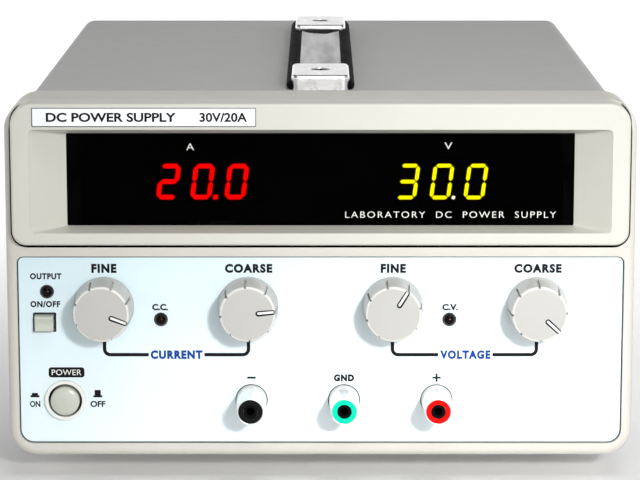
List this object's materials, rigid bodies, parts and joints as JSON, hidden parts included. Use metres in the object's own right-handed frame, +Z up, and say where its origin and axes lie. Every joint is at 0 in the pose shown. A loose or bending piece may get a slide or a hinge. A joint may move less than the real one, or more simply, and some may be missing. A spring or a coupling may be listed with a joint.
{
  "type": "bench power supply",
  "caption": "Bench DC power supply with display hood, rotary knobs, push buttons, binding posts, strap handle and rear fan.",
  "frame": {"origin": "on the table under the middle of the whole object's footprint", "axes": "+X to the right as seen from the front, +Y from the front panel into the depth, +Z up"},
  "size_m": [0.265, 0.368, 0.1658],
  "materials": {
    "frame_plastic": "fine moulded texture",
    "hood_plastic": "fine moulded texture",
    "smoked_window": "smoked acrylic, polished",
    "plate_metal": "satin anodised",
    "panel_steel": "satin",
    "overlay_print": "printed polycarbonate sheet, satin",
    "knob_plastic": "satin",
    "shaft_steel": "turned",
    "pot_case": "moulded",
    "plated_steel": "zinc plated",
    "button_plastic": "semi gloss",
    "switch_plastic": "moulded",
    "lamp_red": "unlit tinted lens",
    "collar_plastic": "moulded nylon",
    "nickel": "nickel plated brass",
    "insert_black": "moulded",
    "insert_green": "moulded",
    "insert_red": "moulded",
    "cover_paint": "fine powder coat",
    "tray_steel": "zinc plated sheet",
    "rear_paint": "fine powder coat",
    "foot_rubber": "moulded",
    "strap_vinyl": "glossy flexible vinyl",
    "cap_chrome": "polished",
    "fan_plastic": "moulded",
    "guard_chrome": "bright wire",
    "selector_red": "moulded",
    "core_steel": "varnished laminations",
    "coil_winding": "varnished copper winding",
    "capacitor_sleeve": "heat-shrunk sleeve",
    "board_green": "solder mask",
    "standoff_brass": "turned",
    "sink_aluminium": "black anodised extrusion",
    "part_black": "moulded epoxy"
  },
  "bodies": {
    "case": {"front_bezel": "frame_plastic", "display_hood": "hood_plastic", "display_window": "smoked_window", "label_plate": "plate_metal", "control_panel": "panel_steel", "panel_overlay": "overlay_print", "potentiometers": "pot_case", "panel_nuts": "plated_steel", "power_button_ring": "button_plastic", "power_switch_body": "switch_plastic", "output_switch_body": "switch_plastic", "indicator_leds": "lamp_red", "post_collars": "collar_plastic", "post_studs": "nickel", "top_cover": "cover_paint", "bottom_chassis": "tray_steel", "rear_panel": "rear_paint", "case_screws": "plated_steel", "rubber_feet": "foot_rubber", "foot_screws": "plated_steel", "handle_strap": "strap_vinyl", "handle_cap_front": "cap_chrome", "handle_cap_rear": "cap_chrome", "handle_screws": "plated_steel", "fan_frame": "fan_plastic", "fan_guard": "guard_chrome", "mains_inlet": "switch_plastic", "voltage_selector_body": "switch_plastic", "transformer_core": "core_steel", "transformer_coil": "coil_winding", "main_board": "board_green", "board_standoffs": "standoff_brass", "display_board": "board_green", "digit_displays": "part_black", "filter_capacitors": "capacitor_sleeve", "bridge_rectifier": "part_black", "heatsink": "sink_aluminium", "power_transistors": "part_black"},
    "current_fine_knob": {"knob_current_fine": "knob_plastic", "shaft_current_fine": "shaft_steel"},
    "current_coarse_knob": {"knob_current_coarse": "knob_plastic", "shaft_current_coarse": "shaft_steel"},
    "voltage_fine_knob": {"knob_voltage_fine": "knob_plastic", "shaft_voltage_fine": "shaft_steel"},
    "voltage_coarse_knob": {"knob_voltage_coarse": "knob_plastic", "shaft_voltage_coarse": "shaft_steel"},
    "power_button": {"power_button_cap": "button_plastic"},
    "output_button": {"output_button_cap": "button_plastic"},
    "negative_washer": {"post_washer_negative": "plated_steel"},
    "negative_post_nut": {"post_nut_negative": "nickel", "post_insert_negative": "insert_black"},
    "ground_washer": {"post_washer_ground": "plated_steel"},
    "ground_post_nut": {"post_nut_ground": "nickel", "post_insert_ground": "insert_green"},
    "positive_washer": {"post_washer_positive": "plated_steel"},
    "positive_post_nut": {"post_nut_positive": "nickel", "post_insert_positive": "insert_red"},
    "fan": {"fan_rotor": "fan_plastic"},
    "fuse_carrier": {"fuse_drawer": "switch_plastic"},
    "selector": {"voltage_selector_slider": "selector_red"}
  },
  "joints": [
    {"name": "current_fine_turn", "type": "hinge", "parent": "case", "child": "current_fine_knob", "pos_m": [-0.0915, -0.164, 0.0752], "axis": [0, 1, 0], "range_deg": [-261, 39]},
    {"name": "current_coarse_turn", "type": "hinge", "parent": "case", "child": "current_coarse_knob", "pos_m": [-0.0305, -0.164, 0.0752], "axis": [0, 1, 0], "range_deg": [-235, 65]},
    {"name": "voltage_fine_turn", "type": "hinge", "parent": "case", "child": "voltage_fine_knob", "pos_m": [0.0305, -0.164, 0.0752], "axis": [0, 1, 0], "range_deg": [-182, 118]},
    {"name": "voltage_coarse_turn", "type": "hinge", "parent": "case", "child": "voltage_coarse_knob", "pos_m": [0.0915, -0.164, 0.0752], "axis": [0, 1, 0], "range_deg": [-283, 17]},
    {"name": "power_button_press", "type": "slide", "parent": "case", "child": "power_button", "axis": [0, 1, 0], "range_m": [-0.004, 0.0008]},
    {"name": "output_button_press", "type": "slide", "parent": "case", "child": "output_button", "axis": [0, 1, 0], "range_m": [0, 0.0035], "stiffness_N_per_m": 500},
    {"name": "negative_post_travel", "type": "slide", "parent": "case", "child": "negative_washer", "axis": [0, -1, 0], "range_m": [0, 0.004]},
    {"name": "negative_post_turn", "type": "hinge", "parent": "negative_washer", "child": "negative_post_nut", "pos_m": [-0.0293, -0.164, 0.0344], "axis": [0, -1, 0], "range_deg": [0, 1442]},
    {"name": "ground_post_travel", "type": "slide", "parent": "case", "child": "ground_washer", "axis": [0, -1, 0], "range_m": [0, 0.004]},
    {"name": "ground_post_turn", "type": "hinge", "parent": "ground_washer", "child": "ground_post_nut", "pos_m": [0.01, -0.164, 0.0344], "axis": [0, -1, 0], "range_deg": [0, 1442]},
    {"name": "positive_post_travel", "type": "slide", "parent": "case", "child": "positive_washer", "axis": [0, -1, 0], "range_m": [0, 0.004]},
    {"name": "positive_post_turn", "type": "hinge", "parent": "positive_washer", "child": "positive_post_nut", "pos_m": [0.0493, -0.164, 0.0344], "axis": [0, -1, 0], "range_deg": [0, 1442]},
    {"name": "fan_spin", "type": "hinge", "parent": "case", "child": "fan", "pos_m": [-0.062, 0.166, 0.088], "axis": [0, 1, 0], "continuous": true},
    {"name": "fuse_drawer_slide", "type": "slide", "parent": "case", "child": "fuse_carrier", "axis": [0, 1, 0], "range_m": [0, 0.02]},
    {"name": "selector_slide", "type": "slide", "parent": "case", "child": "selector", "axis": [1, 0, 0], "range_m": [0, 0.006]}
  ],
  "couplings": [
    {"joint": "negative_post_turn", "follows": "negative_post_travel", "rad_per_m": 6283.2},
    {"joint": "ground_post_turn", "follows": "ground_post_travel", "rad_per_m": 6283.2},
    {"joint": "positive_post_turn", "follows": "positive_post_travel", "rad_per_m": 6283.2}
  ]
}
